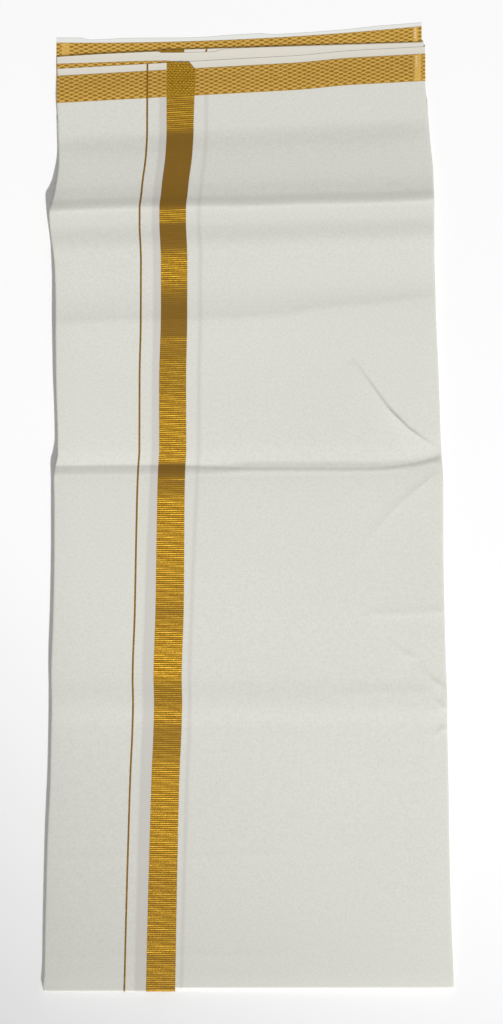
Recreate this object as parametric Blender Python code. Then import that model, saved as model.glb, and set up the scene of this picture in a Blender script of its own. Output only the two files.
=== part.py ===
"""A folded cotton dhoti with gold borders, lying flat on the surface z = 0.

Metres, +Z up. The bundle's length runs along Y, with the cloth's cut ends at +Y and the bottom fold
at -Y. X runs across it, from the left fold to the right fold. Each ply that shows is a thin wall of
its own, and the plies that are folded away inside share one solid whose sides are layered.
"""
import math
from collections import namedtuple

import bpy
import bmesh

MM = 0.001

# ---- One ply of cloth ----
WALL = 1.0 * MM
GAP = 0.3 * MM
PITCH = WALL + GAP

# ---- What is woven into the cloth ----
BORDER_WIDTH = 26 * MM       # wide gold border along the selvedge
BORDER_FLARE = 3 * MM        # how much wider the loose end of the border lies
BORDER_FLARE_LENGTH = 60 * MM
LINE_OFFSET = 20.9 * MM      # from the wide border's inner edge to the middle of the fine gold line
LINE_DRIFT = 0.0033          # how fast the fine line nears the wide border, towards the cut end
LINE_WIDTH = 1.5 * MM
BAND_WIDTH = 26 * MM         # patterned gold band across each end of the cloth
MARGIN_WIDTH = 7 * MM        # plain white strip from the band to the cut end
BACK_MARGIN_WIDTH = 5 * MM   # the same strip at the cloth's other end
CORNER_CUT = 7 * MM          # how far the border's corner is cut away at the cut end
CORNER_LENGTH = 9 * MM

# ---- How the bundle is folded ----
ROLL = 2.6 * MM              # how far in from the outline a ply starts to turn down at a fold
FLAP_OVERHANG = 3 * MM       # how far the flap's bottom fold comes below the bundle's
TUCK = 6 * MM                # from the left fold to the front panel's edge under the flap
EDGE_FALL = 0.8 * MM         # how far the top falls towards the side folds
EDGE_FALL_REACH = 24 * MM
EDGE_FALL_HEIGHT = 2.2 * MM  # no fall where only flat plies are left; full fall this much higher
ROLL_STEPS = 3
ROLL_CLEARANCE = 0.4 * MM    # from a turned-down edge to the lip under it

# ---- The hidden plies' layered sides ----
LIPS = (1.0, 0.64, 0.32, 0.0)        # where the lips part, as shares of the solid's height
LIP_PROFILE = ((0.0, 1.5), (0.2, 0.35), (0.5, 0.0), (0.8, 0.35))   # share down a lip, mm inwards
LIP_INSET = (1.7 * MM, 0.9 * MM, 0.4 * MM)                         # top lip to bottom lip
LIP_WANDER = 0.35 * MM
LIP_WAVE = 0.19
CORE_BASE = WALL + GAP
CORE_SHOULDER = 3.2 * MM

# The bundle's sections, bottom fold first. along is where the row crosses x = 0 and skew its slope
# across the bundle; left and right are the outline, border is the wide gold border's inner edge,
# and height is the top of the hidden plies. All in millimetres but skew.
Section = namedtuple("Section", "along left right border skew height bow", defaults=(0.0,))
SECTIONS = tuple(Section(*row) for row in (
    # along    left   right  border  skew  height
    (-483.0, -205.5, 205.5, -101.5, 0.000, 5.8),
    (-468.0, -204.0, 205.0, -101.0, 0.000, 6.6),
    (-420.0, -203.0, 203.0, -100.0, 0.000, 7.2),
    (-340.0, -201.0, 201.0, -98.0, 0.000, 7.7),
    (-270.0, -198.0, 200.0, -96.0, 0.000, 8.0),
    (-222.0, -197.0, 199.0, -94.0, 0.000, 8.2),
    (-197.0, -196.5, 199.0, -93.5, 0.000, 8.8),      # faint crease, a low ridge
    (-172.0, -197.0, 198.0, -94.0, 0.000, 8.4),
    (-104.0, -195.0, 196.0, -92.0, 0.003, 8.8),
    (-40.0, -194.0, 195.0, -91.0, 0.008, 9.2),
    (14.0, -194.0, 195.0, -90.0, 0.018, 9.5),
    (31.0, -194.5, 194.5, -89.5, 0.020, 9.6),
    (42.0, -193.5, 193.5, -89.0, 0.022, 8.5),        # pressed crease, a valley
    (58.0, -190.5, 192.5, -88.0, 0.024, 8.8),
    (72.0, -190.5, 192.0, -88.0, 0.025, 9.0),
    (130.0, -192.0, 190.0, -88.0, 0.028, 9.7),
    (188.0, -192.5, 187.5, -87.0, 0.031, 10.3),
    (210.0, -192.5, 187.0, -87.0, 0.032, 10.1),
    (248.0, -193.5, 186.0, -87.0, 0.034, 10.8),
    (263.0, -195.0, 186.0, -87.5, 0.035, 11.1),
    (285.0, -198.0, 186.0, -88.5, 0.036, 10.2),
    (301.0, -199.0, 186.0, -88.5, 0.036, 10.3),      # pressed crease, a sharp ridge
    (313.0, -196.0, 185.5, -87.2, 0.038, 8.7),
    (326.0, -193.0, 185.0, -86.0, 0.041, 7.3),
    (356.0, -189.5, 182.0, -82.5, 0.046, 5.4),
    (380.0, -190.0, 180.0, -81.5, 0.052, 3.7),
    (406.0, -190.5, 178.5, -81.5, 0.055, 3.6),
    (448.5, -191.0, 177.5, -81.5, 0.055, 3.6),
))
CORE_END = 418.0 * MM
CREASED_COLUMNS = (0.0, 0.16, 0.32, 0.48, 0.64, 0.8, 0.9, 0.96, 1.0)
FLAP_COLUMNS = (0.0, 0.1, 0.3, 0.65, 1.0)

# The plies that stand out beyond the front one at the cut ends, in the same columns. along is the
# cut end, and bow is how fast the edge curves up on both sides of the middle.
SECOND_END = Section(455.5, -188.5, 175.5, 0.0, 0.040, 3.6)
THIRD_END = Section(459.5, -90.0, 176.0, 0.0, 0.032, 2.3)
BACK_END = Section(473.2, -192.0, 174.0, 0.0, 0.048, 1.0, 0.15)
HIDDEN_START = 422.5 * MM

WHITE = (0.80, 0.80, 0.75, 1.0)
GOLD = (0.56, 0.34, 0.05, 1.0)


def clear_scene():
    for item in list(bpy.data.objects):
        bpy.data.objects.remove(item, do_unlink=True)


def make_material(name, colour, roughness, metallic):
    material = bpy.data.materials.new(name)
    material.use_nodes = True
    shader = material.node_tree.nodes["Principled BSDF"]
    shader.inputs["Base Color"].default_value = colour
    shader.inputs["Roughness"].default_value = roughness
    shader.inputs["Metallic"].default_value = metallic
    return material


def in_metres(section):
    """The same section with its lengths in metres; skew is a ratio and bow is per metre."""
    names = ("along", "left", "right", "border", "height")
    return section._replace(**{name: getattr(section, name) * MM for name in names})


ROWS = tuple(in_metres(section) for section in SECTIONS)


def section_at(along):
    """The bundle's section at one place along it, read straight between two rows of the table."""
    for low, high in zip(ROWS, ROWS[1:]):
        if along <= high.along:
            break
    share = (along - low.along) / (high.along - low.along)
    return Section(*(a + (b - a) * share for a, b in zip(low, high)))


def sections_between(start, end):
    """The sections from start to end, with every row of the table that lies between."""
    inner = [row for row in ROWS if start + MM < row.along < end - MM]
    return [section_at(start)] + inner + [section_at(end)]


def core_top(section, x):
    """Height of the hidden plies at x, a little lower near the side folds."""
    inside = max(0.0, min(x - section.left, section.right - x))
    near = max(0.0, 1.0 - inside / EDGE_FALL_REACH)
    plump = min(1.0, (section.height - ROWS[-1].height) / EDGE_FALL_HEIGHT)
    return section.height - EDGE_FALL * plump * near * near


def ply_top(level):
    """Top of the ply that lies level plies above the hidden ones."""
    return lambda section, x: core_top(section, x) + level * PITCH


def flat_top(section, x):
    return section.height


def row_point(section, x, top):
    return (x, section.along + section.skew * x + section.bow * x * x, top(section, x))


def lip_height(section, x, index):
    """Where one lip of the hidden plies' side ends and the next begins."""
    return CORE_BASE + (core_top(section, x) - CORE_BASE) * LIPS[index]


def perimeter(row_count, column_count, sides):
    """(row, column, outward x, outward y) along the named sides, anticlockwise from above.

    Two sides that follow each other share their corner, which gets a slanting step of its own.
    """
    last_row, last_column = row_count - 1, column_count - 1
    paths = {
        "bottom": [(0, c, 0.0, -1.0) for c in range(column_count)],
        "right": [(r, last_column, 1.0, 0.0) for r in range(row_count)],
        "top": [(last_row, c, 0.0, 1.0) for c in reversed(range(column_count))],
        "left": [(r, 0, -1.0, 0.0) for r in reversed(range(row_count))],
    }
    steps = []
    slant = math.sqrt(0.5)
    for index, side in enumerate(sides):
        path = paths[side]
        steps += path
        following = sides[(index + 1) % len(sides)]
        if index + 1 < len(sides) or len(sides) == 4:
            row, column, out_x, out_y = path[-1]
            next_x, next_y = paths[following][0][2:]
            steps.append((row, column, (out_x + next_x) * slant, (out_y + next_y) * slant))
    return steps


def grid_faces(mesh, grid):
    for low, high in zip(grid, grid[1:]):
        for column in range(len(low) - 1):
            mesh.faces.new((low[column], low[column + 1], high[column + 1], high[column]))


def ring_faces(mesh, inner, outer, closed):
    """Faces between two rings; a corner's steps share their inner vertex and give triangles."""
    count = len(inner)
    for index in range(count if closed else count - 1):
        after = (index + 1) % count
        corners = [inner[index], outer[index], outer[after], inner[after]]
        mesh.faces.new(corners if corners[0] is not corners[3] else corners[:3])


def finish(name, mesh, material):
    data = bpy.data.meshes.new(name)
    mesh.to_mesh(data)
    mesh.free()
    data.shade_smooth()
    data.set_sharp_from_angle(angle=math.radians(40))
    data.materials.append(material)
    piece = bpy.data.objects.new(name, data)
    bpy.context.scene.collection.objects.link(piece)
    return piece


def cloth(name, sections, columns, top, material, rolled=()):
    """A ply: a grid of its sections and columns, turned down along its rolled sides, WALL thick."""
    mesh = bmesh.new()
    grid = [[mesh.verts.new(row_point(s, x, top)) for x in columns(s)] for s in sections]
    grid_faces(mesh, grid)
    if rolled:
        steps = perimeter(len(grid), len(grid[0]), rolled)
        inner = [grid[row][column] for row, column, _, _ in steps]
        for step in range(1, ROLL_STEPS + 1):
            turn = math.radians(90) * step / ROLL_STEPS
            outer = []
            for row, column, out_x, out_y in steps:
                base = grid[row][column].co
                lowest = lip_height(sections[row], base.x, 1) + ROLL_CLEARANCE
                fall = (base.z - lowest) * (1.0 - math.cos(turn))
                reach = ROLL * math.sin(turn)
                outer.append(mesh.verts.new((base.x + out_x * reach, base.y + out_y * reach, base.z - fall)))
            ring_faces(mesh, inner, outer, closed=False)
            inner = outer
    piece = finish(name, mesh, material)
    solidify = piece.modifiers.new("wall", "SOLIDIFY")
    solidify.thickness = WALL
    solidify.offset = -1.0
    solidify.use_even_offset = True
    return piece


def between(left_of, right_of, shares=(0.0, 1.0)):
    """Columns at shares of the way between two x positions, each given as a function of the section."""
    def columns(section):
        left, right = left_of(section), right_of(section)
        return [left + (right - left) * share for share in shares]
    return columns


def hidden_plies(material):
    """The folded-away plies: one solid with a creased top, a flat base and layered sides."""
    mesh = bmesh.new()
    sections = sections_between(ROWS[0].along + CORE_SHOULDER, CORE_END - CORE_SHOULDER)
    columns = between(lambda s: s.left + CORE_SHOULDER, lambda s: s.right - CORE_SHOULDER, CREASED_COLUMNS)
    grid = [[mesh.verts.new(row_point(s, x, core_top)) for x in columns(s)] for s in sections]
    grid_faces(mesh, grid)
    steps = perimeter(len(grid), len(grid[0]), ("bottom", "right", "top", "left"))
    inner = [grid[row][column] for row, column, _, _ in steps]
    for lip, inset in enumerate(LIP_INSET):
        for down, inwards in LIP_PROFILE:
            if lip == 0 and down == 0.0:
                continue
            outer = []
            for row, column, out_x, out_y in steps:
                base = grid[row][column].co
                high = lip_height(sections[row], base.x, lip)
                low = lip_height(sections[row], base.x, lip + 1)
                wander = LIP_WANDER * math.sin(base.y * math.tau / LIP_WAVE + lip * 2.1)
                reach = CORE_SHOULDER - inset - inwards * MM - LIP_WANDER + wander
                z = high + (low - high) * down
                outer.append(mesh.verts.new((base.x + out_x * reach, base.y + out_y * reach, z)))
            ring_faces(mesh, inner, outer, closed=True)
            inner = outer
    floor = []
    for vertex, (row, column, out_x, out_y) in zip(inner, steps):
        co = vertex.co
        floor.append(mesh.verts.new((co.x - out_x * MM, co.y - out_y * MM, CORE_BASE)))
    ring_faces(mesh, inner, floor, closed=True)
    mesh.faces.new(list(reversed(floor)))
    return finish("hidden_layers", mesh, material)


def back_plies(white, gold):
    """The ply that the bundle lies on: it shows beyond the others at the cut ends."""
    end = in_metres(BACK_END)
    whole = between(lambda s: s.left, lambda s: s.right, (0.0, 0.25, 0.5, 0.75, 1.0))
    body = [row._replace(height=WALL) for row in sections_between(ROWS[0].along, HIDDEN_START)]
    band_high = end.along - BACK_MARGIN_WIDTH
    band_low = band_high - BAND_WIDTH
    half = GAP / 2
    body.append(end._replace(along=band_low - half))
    cloth("back_panel", body, whole, flat_top, white)
    band = [end._replace(along=band_low + half), end._replace(along=band_high - half)]
    cloth("back_end_band", band, whole, flat_top, gold)
    cloth("back_end_margin", [end._replace(along=band_high + half), end], whole, flat_top, white)


def inner_ply_ends(white, gold):
    """The ends of the two plies between the back one and the front one."""
    half = GAP / 2
    wide = between(lambda s: s.left, lambda s: s.right, (0.0, 0.5, 1.0))
    third = in_metres(THIRD_END)
    start = third._replace(along=HIDDEN_START)
    border_edge = third.left + BORDER_WIDTH
    border = between(lambda s: s.left, lambda s: border_edge - half)
    rest = between(lambda s: border_edge + half, lambda s: s.right, (0.0, 0.5, 1.0))
    cloth("third_ply_border", [start, third], border, flat_top, gold)
    cloth("third_ply_end", [start, third], rest, flat_top, white)
    second = in_metres(SECOND_END)
    band_high = second.along - MARGIN_WIDTH
    band = [second._replace(along=HIDDEN_START), second._replace(along=band_high - half)]
    cloth("second_end_band", band, wide, flat_top, gold)
    cloth("second_end_margin", [second._replace(along=band_high + half), second], wide, flat_top, white)


def end_stretches():
    """Where the front ply's body, end band and end margin lie along the bundle."""
    half = GAP / 2
    end = ROWS[-1].along
    band_high = end - MARGIN_WIDTH
    band_low = band_high - BAND_WIDTH
    return band_low - half, (band_low + half, band_high - half), (band_high + half, end)


def front_plies(white, gold):
    """The ply that shows to the right of the flap, turned down at the right and bottom folds."""
    body_end, band, margin = end_stretches()
    columns = between(lambda s: s.left + TUCK, lambda s: s.right - ROLL, CREASED_COLUMNS)
    body = sections_between(ROWS[0].along + ROLL, body_end)
    top = ply_top(1)
    cloth("front_panel", body, columns, top, white, rolled=("bottom", "right"))
    cloth("front_end_band", sections_between(*band), columns, top, gold, rolled=("right",))
    cloth("front_end_margin", sections_between(*margin), columns, top, white, rolled=("right",))


def border_right(section):
    """The border's outer edge, which is the selvedge, with its corner cut away at the cut end."""
    from_end = ROWS[-1].along - section.along
    cut = max(0.0, 1.0 - from_end / CORNER_LENGTH)
    flare = max(0.0, 1.0 - from_end / BORDER_FLARE_LENGTH)
    return section.border + BORDER_WIDTH + BORDER_FLARE * flare - CORNER_CUT * cut


def beside_line(side):
    """The fine line's left (-1) or right (+1) edge at a section."""
    return lambda s: s.border - LINE_OFFSET + LINE_DRIFT * s.along + side * LINE_WIDTH / 2


def flap_plies(white, gold):
    """The flap folded over from the left, with its border, fine line, end band and end margin."""
    half = GAP / 2
    body_end, band, margin = end_stretches()
    top = ply_top(2)
    line_low = beside_line(-1)
    line_high = beside_line(1)
    outer = between(lambda s: s.left + ROLL, lambda s: line_low(s) - half, FLAP_COLUMNS)
    line = between(lambda s: line_low(s) + half, lambda s: line_high(s) - half)
    inner = between(lambda s: line_high(s) + half, lambda s: s.border - half)
    border = between(lambda s: s.border + half, border_right, (0.0, 0.5, 1.0))
    start = ROWS[0].along + ROLL
    lowest = section_at(start)
    bottom = [lowest._replace(along=start - FLAP_OVERHANG)]
    body = bottom + sections_between(start, body_end)
    corner = ROWS[-1].along - CORNER_LENGTH
    whole = bottom + sections_between(start, corner) + [ROWS[-1]]
    cloth("flap_panel", body, outer, top, white, rolled=("left", "bottom"))
    cloth("flap_inner_strip", body, inner, top, white, rolled=("bottom",))
    cloth("flap_fine_line", whole, line, top, gold, rolled=("bottom",))
    cloth("flap_border", whole, border, top, gold, rolled=("bottom",))
    for name, columns, rolled in (("outer", outer, ("left",)), ("inner", inner, ())):
        cloth(f"flap_band_{name}", sections_between(*band), columns, top, gold, rolled=rolled)
        cloth(f"flap_margin_{name}", sections_between(*margin), columns, top, white, rolled=rolled)


def main():
    clear_scene()
    white = make_material("cotton_white", WHITE, 0.85, 0.0)
    gold = make_material("gold_thread", GOLD, 0.45, 0.6)
    back_plies(white, gold)
    hidden_plies(white)
    inner_ply_ends(white, gold)
    front_plies(white, gold)
    flap_plies(white, gold)


main()
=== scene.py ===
"""Looks of the folded dhoti: thin shells of cotton and gold-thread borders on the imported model's form.

Metres, +Z up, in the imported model's frame: +X runs from the left fold to the right fold and +Y from
the bottom fold to the cut ends. The weft lies a little aslant across the bundle, so a place on the
cloth is (along, x): along is where its weft thread crosses x = 0, and y = along + slant * x.
"""
import math
from collections import namedtuple

import bpy
import numpy as np
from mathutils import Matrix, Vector


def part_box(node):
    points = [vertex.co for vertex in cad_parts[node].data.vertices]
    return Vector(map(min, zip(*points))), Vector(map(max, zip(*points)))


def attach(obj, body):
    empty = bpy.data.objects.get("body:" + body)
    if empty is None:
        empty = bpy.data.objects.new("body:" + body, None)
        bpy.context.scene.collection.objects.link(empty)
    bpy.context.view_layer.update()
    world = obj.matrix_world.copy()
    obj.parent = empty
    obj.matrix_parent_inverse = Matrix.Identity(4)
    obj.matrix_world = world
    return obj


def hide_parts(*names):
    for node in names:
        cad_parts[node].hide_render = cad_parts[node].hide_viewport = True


MM = 0.001
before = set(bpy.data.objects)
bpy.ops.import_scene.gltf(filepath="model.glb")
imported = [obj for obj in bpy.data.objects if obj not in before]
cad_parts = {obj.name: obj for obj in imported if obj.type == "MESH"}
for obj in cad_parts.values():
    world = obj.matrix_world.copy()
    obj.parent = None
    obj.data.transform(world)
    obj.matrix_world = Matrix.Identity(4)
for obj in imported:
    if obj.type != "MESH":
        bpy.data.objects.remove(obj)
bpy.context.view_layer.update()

# ---- Cloth ----
PLY = 0.45 * MM              # thickness of one shell
BACK_PLY = 0.9 * MM
CAD_PITCH = 1.3 * MM         # from one CAD wall to the next
PILE_SINK = 1.3 * MM         # the shells are thinner than the CAD walls, so the pile lies lower
FLAP_LIFT = 0.55 * MM        # the flap's top above the front ply's

# ---- Woven in ----
BORDER_WIDTH = 26 * MM
LINE_OFFSET = 20.9 * MM
LINE_DRIFT = 0.0033
LINE_WIDTH = 1.8 * MM
BAND_WIDTH = 27.5 * MM
MARGIN_WIDTH = 7 * MM
BACK_MARGIN_WIDTH = 5 * MM
CORNER_CUT = 7 * MM
CORNER_LENGTH = 9 * MM
RIB_PITCH = 2.08 * MM
RIB_HEIGHT = 0.34 * MM
CELL_WIDTH = 9.3 * MM        # the end band's lattice repeat across and along
CELL_LENGTH = 3.95 * MM
FIGURE_HEIGHT = 0.14 * MM
TWILL_PITCH = 2.7 * MM       # the slanting lines where the border crosses the band

# ---- Folds ----
ROLL_OUT = 1.9 * MM          # how far a fold's round reaches past the flat cloth
ROLL_DEPTH = 2.5 * MM
BACK_ROLL_DEPTH = 1.7 * MM
TUCK = 6 * MM
FLAP_OVERHANG = 3 * MM

FRONT_END = 448.5 * MM       # cut ends, as places along the bundle
SECOND_END = 456.2 * MM
THIRD_END = 459.5 * MM
BACK_END = 473.2 * MM
BOTTOM = -483.0 * MM
END_SIDES_START = 390 * MM   # from here on the sides turn into the straight ones of the cut ends
END_SIDES_REACH = 30 * MM
SIDE_X = 190 * MM            # about where the sides lie, for how far their weft has gone along


def smooth_through(places, values):
    """A smooth curve through the points that never swings past them, as a function of an array."""
    places = np.asarray(places, float)
    values = np.asarray(values, float)
    steps = np.diff(places)
    slopes = np.diff(values) / steps
    tangents = np.zeros(len(values))
    turning = slopes[:-1] * slopes[1:] <= 0
    total = np.where(turning, 1.0, slopes[:-1] + slopes[1:])
    tangents[1:-1] = np.where(turning, 0.0, 2 * slopes[:-1] * slopes[1:] / total)
    tangents[0], tangents[-1] = slopes[0], slopes[-1]

    def curve(at):
        at = np.clip(at, places[0], places[-1])
        index = np.clip(np.searchsorted(places, at) - 1, 0, len(steps) - 1)
        step = steps[index]
        t = (at - places[index]) / step
        start = values[index] * (1 + 2 * t) * (1 - t) ** 2 + tangents[index] * step * t * (1 - t) ** 2
        end = values[index + 1] * t * t * (3 - 2 * t) + tangents[index + 1] * step * t * t * (t - 1)
        return start + end

    return curve


def smooth_step(at):
    at = np.clip(at, 0.0, 1.0)
    return at * at * (3 - 2 * at)


# ---- The bundle's form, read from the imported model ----
def corners(node):
    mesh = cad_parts[node].data
    flat = np.empty(len(mesh.vertices) * 3)
    mesh.vertices.foreach_get("co", flat)
    return np.unique(np.round(flat.reshape(-1, 3), 5), axis=0)


def outline(node, side):
    """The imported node's left (-1) or right (+1) edge, as x over y."""
    points = corners(node)
    edge = points[points[:, 0] * side > 0.15]
    places, first = np.unique(edge[:, 1], return_index=True)
    return smooth_through(places, edge[first, 0])


def border_rows():
    """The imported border's rows: y, inner edge, outer edge and top."""
    points = corners("flap_border")
    points = points[np.argsort(points[:, 1])]
    breaks = np.flatnonzero(np.diff(points[:, 1]) > 3 * MM) + 1
    rows = []
    for group in np.split(points, breaks):
        rows.append((group[:, 1].mean(), group[:, 0].min(), group[:, 0].max(), group[:, 2].max()))
    return np.array(rows).T


# How far a weft thread goes along the bundle for each metre across it.
slant_curve = smooth_through((-0.20, -0.04, 0.042, 0.130, 0.301, 0.356, 0.406),
                             (0, 0.008, 0.022, 0.028, 0.036, 0.046, 0.055))
row_y, row_inner, row_outer, row_top = border_rows()
row_along = row_y - slant_curve(row_y) * row_inner
inside_end = row_along < FRONT_END - 12 * MM
border_curve = smooth_through(row_along[inside_end], row_inner[inside_end])
height_curve = smooth_through(row_along, row_top - 2 * CAD_PITCH)
left_curve = outline("back_panel", -1)
right_curve = outline("back_panel", 1)
END_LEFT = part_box("back_end_band")[0][0] + 0.4 * MM
END_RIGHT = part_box("front_end_margin")[1][0]


def towards_end_sides(along):
    """0 along the bundle's body, 1 where the sides are the straight ones of the cut ends."""
    return smooth_step((along - END_SIDES_START) / END_SIDES_REACH)


def left_edge(along):
    blend = towards_end_sides(along)
    return left_curve(along - slant_curve(along) * SIDE_X) * (1 - blend) + END_LEFT * blend


def right_edge(along):
    blend = towards_end_sides(along)
    return right_curve(along + slant_curve(along) * SIDE_X) * (1 - blend) + END_RIGHT * blend


# ---- Creases, in millimetres ----
# A pressed crease runs across the bundle through its points (x, y). rise is its height, negative
# for a valley; before and after are how far it spreads towards the bottom fold and the cut ends,
# and fade is the length over which it dies away at both its ends.
Pressed = namedtuple("Pressed", "points rise before after fade")
RIDGE = Pressed(((-198, 294), (-150, 296.5), (-60, 299), (0, 299.5), (60, 301.5), (130, 303),
                 (185, 305.5)), 0.30, 3, 6, 10)
VALLEY = Pressed(((-195, 40), (-100, 41), (-50, 40.2), (-18, 38.8), (10, 38.1), (100, 37.8),
                  (132, 38.6), (150, 40.6), (167, 43.2), (190, 49)), -0.42, 1.9, 9, 10)
# Where the broad fall into the valley lies: to the right of the border it reaches past the crease.
VALLEY_FALL = ((-195, 40), (-100, 41), (-50, 41.5), (-25, 42.5), (5, 45), (100, 45.2), (132, 45.2),
               (150, 46.2), (167, 48), (190, 53))
PRESSED = (
    RIDGE,
    VALLEY,
    Pressed(((-195, 29), (-100, 30), (60, 31), (132, 32), (190, 42)), -0.42, 14, 9, 10),
    Pressed(((-205, -199), (0, -197), (200, -196)), -0.08, 8, 14, 30),
    Pressed(((-200, 182), (-135, 185), (-24, 187), (33, 191), (82, 199), (132, 203), (190, 210)),
            0.5, 22, 8, 80),
    Pressed(((120, -109), (200, -106)), 0.3, 3, 5, 30),
    Pressed(((95, -188), (190, -185)), 0.15, 4, 5, 30),
    Pressed(((-205, -352), (40, -349)), 0.10, 3, 3, 30),
    Pressed(((-205, -452), (40, -449)), 0.12, 3, 3, 30),
)
# A wrinkle is a short crease through its points (x, y). rise is its height at the strongest place,
# steep and gentle how far it spreads to its left and its right side, seen from the first point on,
# and peak the share of its length after which it is strongest.
Wrinkle = namedtuple("Wrinkle", "points rise steep gentle peak")
WRINKLES = (
    Wrinkle(((105, 147), (122, 123), (141, 97), (160, 78), (180, 64), (194, 56)), 1.4, 0.9, 11.0, 0.52),
    Wrinkle(((139, -131), (155, -146), (176, -154)), 0.4, 1.2, 6.0, 0.6),
    Wrinkle(((173, -156), (181, -170), (199, -184)), 0.7, 1.0, 5.0, 0.7),
    Wrinkle(((182, -190), (190, -196), (199, -204)), 0.6, 1.1, 4.0, 0.8),
    Wrinkle(((184, -230), (190, -226), (199, -219)), 0.5, 1.1, 4.0, 0.7),
    Wrinkle(((102, -61), (125, -27), (152, 3), (175, 22), (194, 36)), 0.4, 3.4, 9.0, 0.85),
    Wrinkle(((-2, 410), (1, 250), (4, 56), (5, -200), (7, -475)), 0.16, 1.4, 3.0, 0.95),
)


def line_through(points):
    """A crease's place along the bundle as a function of x."""
    points = np.array(points) * MM
    return smooth_through(points[:, 0], points[:, 1])


CREASE_ROUND = 0.1           # how round a pressed crease's top is, as a share of its spread


def pressed_height(x, y):
    total = np.zeros(np.broadcast(x, y).shape)
    for crease in PRESSED:
        away = y - line_through(crease.points)(x)
        spread = np.where(away < 0, crease.before, crease.after) * MM
        low, high = crease.points[0][0], crease.points[-1][0]
        left_end = smooth_step((x / MM - low) / crease.fade + 0.5)
        right_end = smooth_step((high - x / MM) / crease.fade + 0.5)
        profile = np.exp(CREASE_ROUND - np.sqrt((away / spread) ** 2 + CREASE_ROUND ** 2))
        total += crease.rise * MM * profile * left_end * right_end
    return total


RIDGE_MODELLED = 301 * MM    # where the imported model's straight ridge and valley cross x = 0
VALLEY_MODELLED = 42 * MM
BEND_REACH = 45 * MM


def bend(along, x):
    """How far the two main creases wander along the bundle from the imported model's straight ones."""
    total = np.zeros(np.broadcast(along, x).shape)
    for points, modelled in ((RIDGE.points, RIDGE_MODELLED), (VALLEY_FALL, VALLEY_MODELLED)):
        wander = modelled + slant_curve(modelled) * x - line_through(points)(x)
        total += wander * np.exp(-((along - modelled) / BEND_REACH) ** 2)
    return total


def wrinkle_height(x, y):
    total = np.zeros(np.broadcast(x, y).shape)
    for wrinkle in WRINKLES:
        points = np.array(wrinkle.points) * MM
        lengths = np.hypot(*np.diff(points, axis=0).T)
        starts = np.concatenate(([0.0], np.cumsum(lengths)))
        best = np.full(total.shape, np.inf)
        signed = np.zeros(total.shape)
        place = np.zeros(total.shape)
        for index, length in enumerate(lengths):
            tangent = (points[index + 1] - points[index]) / length
            from_x = x - points[index][0]
            from_y = y - points[index][1]
            forward = np.clip(from_x * tangent[0] + from_y * tangent[1], 0.0, length)
            off_x = from_x - forward * tangent[0]
            off_y = from_y - forward * tangent[1]
            distance = np.hypot(off_x, off_y)
            nearer = distance < best
            side = np.sign(off_y * tangent[0] - off_x * tangent[1])
            signed = np.where(nearer, distance * side, signed)
            place = np.where(nearer, (starts[index] + forward) / starts[-1], place)
            best = np.minimum(best, distance)
        spread = np.where(signed > 0, wrinkle.steep, wrinkle.gentle) * MM
        before = np.clip(place / wrinkle.peak, 0.0, 1.0) ** 0.7
        after = smooth_step((1.03 - place) / (1.03 - wrinkle.peak))
        total += wrinkle.rise * MM * before * after * np.exp(-best / spread)
    return total


# Waves of the slow unevenness: radians per metre across and along, start, and height in millimetres.
Wave = namedtuple("Wave", "across along start height")
WAVES = (
    Wave(31.0, 11.0, 0.4, 0.10),
    Wave(-17.0, 23.0, 1.9, 0.10),
    Wave(52.0, -7.0, 3.1, 0.05),
    Wave(9.0, 47.0, 5.2, 0.06),
)


def rumple(x, y):
    """Slow unevenness of cloth that was pressed in folds, a fraction of a millimetre high."""
    return sum(wave.height * MM * np.sin(wave.across * x + wave.along * y + wave.start) for wave in WAVES)


EDGE_FALL = 0.8 * MM         # how far the top falls towards the side folds
EDGE_FALL_REACH = 24 * MM
FLAT_HEIGHT = 3.6 * MM       # the pile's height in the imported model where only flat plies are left
PLUMP_RISE = 2.2 * MM        # this much higher, the pile is plump


def pile_top(along, x):
    """Top of the hidden plies."""
    y = along + slant_curve(along) * x
    base = height_curve(along + bend(along, x))
    plump = np.clip((base - FLAT_HEIGHT) / PLUMP_RISE, 0.0, 1.0)
    inside = np.clip(np.minimum(x - left_edge(along), right_edge(along) - x), 0.0, None)
    near = np.clip(1.0 - inside / EDGE_FALL_REACH, 0.0, 1.0)
    detail = pressed_height(x, y) + wrinkle_height(x, y) + rumple(x, y) * plump
    return base - PILE_SINK - EDGE_FALL * plump * near ** 2 + detail


def settle(along, end, drop, reach):
    """How far a ply sinks towards its cut end, where it lies on the ply below."""
    return drop * (1.0 - smooth_step((end - along) / reach))


def end_step(x):
    """From one ply's top to the next one's at the cut ends: they lie closer together on the right."""
    return 0.20 * MM - 0.08 * MM * smooth_step((x + 0.02) / 0.08)


def end_fall(along, x):
    """How far the upper plies sink where only their cut ends are left under them."""
    drop = 1.75 * MM + 0.25 * MM * smooth_step((x - 0.02) / 0.10)
    return settle(along, FRONT_END, drop, 36 * MM)


def front_top(along, x):
    return pile_top(along, x) + CAD_PITCH - end_fall(along, x)


# How far the other selvedge's border, hidden under the flap's, reaches out to the left of it.
HIDDEN_BORDER_REACH = smooth_through((-0.48, -0.10, 0.03, 0.38),
                                     (13.5 * MM, 12.5 * MM, 9.5 * MM, 8.5 * MM))
HIDDEN_LINE_OFFSET = 48 * MM
SOFT_EDGE = 2.5 * MM


def hidden_border_left(along):
    return border_curve(along) - HIDDEN_BORDER_REACH(along)


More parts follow.
